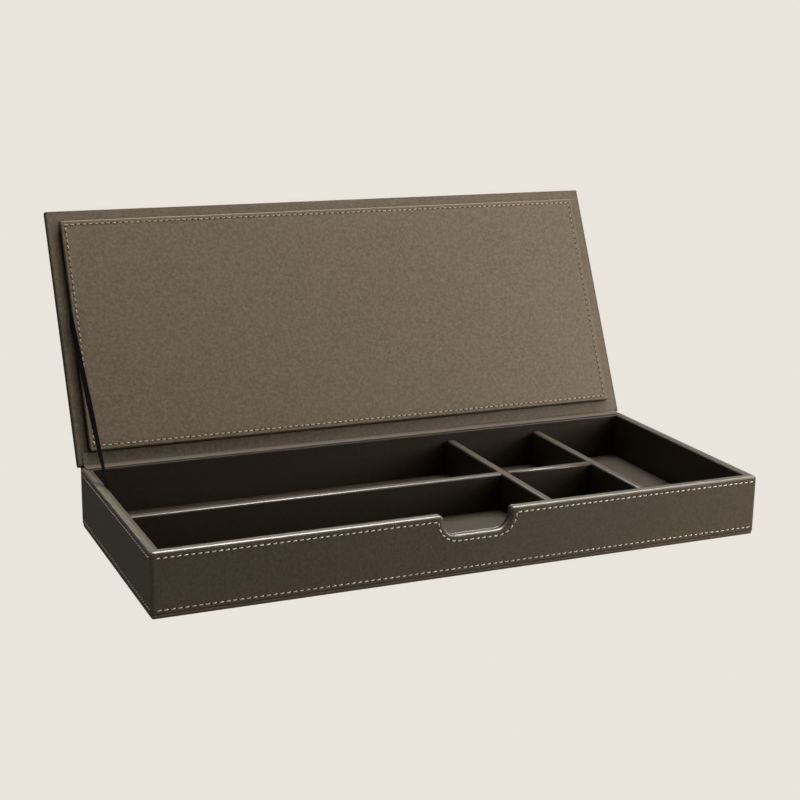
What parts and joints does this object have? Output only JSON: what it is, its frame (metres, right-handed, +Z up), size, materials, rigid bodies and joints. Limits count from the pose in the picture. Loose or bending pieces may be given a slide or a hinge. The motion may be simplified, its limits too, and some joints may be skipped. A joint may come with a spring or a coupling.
{
  "type": "lidded compartment box",
  "caption": "Low rectangular box covered in stitched leather, with divided compartments, a thumb notch, a padded hinged lid and a ribbon stay.",
  "frame": {"origin": "middle of the underside", "axes": "+X to the right along the box's length, +Y from the notched front to the hinged back, +Z up"},
  "size_m": [0.402, 0.2526, 0.1934],
  "materials": {
    "outer_leather": "fine grain, semi-matt, topstitched",
    "inner_leather": "fine grain, semi-matt",
    "lid_leather": "fine grain, semi-matt, topstitched round the pad",
    "fibreboard": "raw medium-density fibreboard, hidden under leather",
    "card": "grey board, hidden under leather",
    "base_cloth": "flocked base cloth on board",
    "ribbon": "woven satin ribbon"
  },
  "bodies": {
    "tray": {"base_panel": "base_cloth", "carcass_floor": "fibreboard", "front_wall_board": "fibreboard", "back_wall_board": "fibreboard", "left_wall_board": "fibreboard", "right_wall_board": "fibreboard", "outer_cover": "outer_leather", "front_liner_board": "fibreboard", "front_liner_leather": "inner_leather", "back_liner_board": "fibreboard", "back_liner_leather": "inner_leather", "left_liner_board": "fibreboard", "left_liner_leather": "inner_leather", "right_liner_board": "fibreboard", "right_liner_leather": "inner_leather", "middle_cross_divider_board": "fibreboard", "middle_cross_divider_leather": "inner_leather", "right_cross_divider_board": "fibreboard", "right_cross_divider_leather": "inner_leather", "left_long_divider_board": "fibreboard", "left_long_divider_leather": "inner_leather", "middle_long_divider_board": "fibreboard", "middle_long_divider_leather": "inner_leather", "front_left_floor_card": "card", "front_left_floor_leather": "inner_leather", "back_left_floor_card": "card", "back_left_floor_leather": "inner_leather", "front_middle_floor_card": "card", "front_middle_floor_leather": "inner_leather", "back_middle_floor_card": "card", "back_middle_floor_leather": "inner_leather", "right_floor_card": "card", "right_floor_leather": "inner_leather", "spine_leather": "outer_leather", "hinge_lining": "lid_leather", "stay_ribbon": "ribbon"},
    "lid": {"lid_cover": "outer_leather", "lid_board": "fibreboard", "lid_lining": "lid_leather", "lid_pad_board": "fibreboard", "lid_pad_leather": "lid_leather"}
  },
  "joints": [
    {"name": "lid_hinge", "type": "hinge", "parent": "tray", "child": "lid", "pos_m": [0, 0.08675, 0.03875], "axis": [1, 0, 0], "range_deg": [0, 116], "deforming": ["spine_leather", "hinge_lining", "stay_ribbon"]}
  ]
}
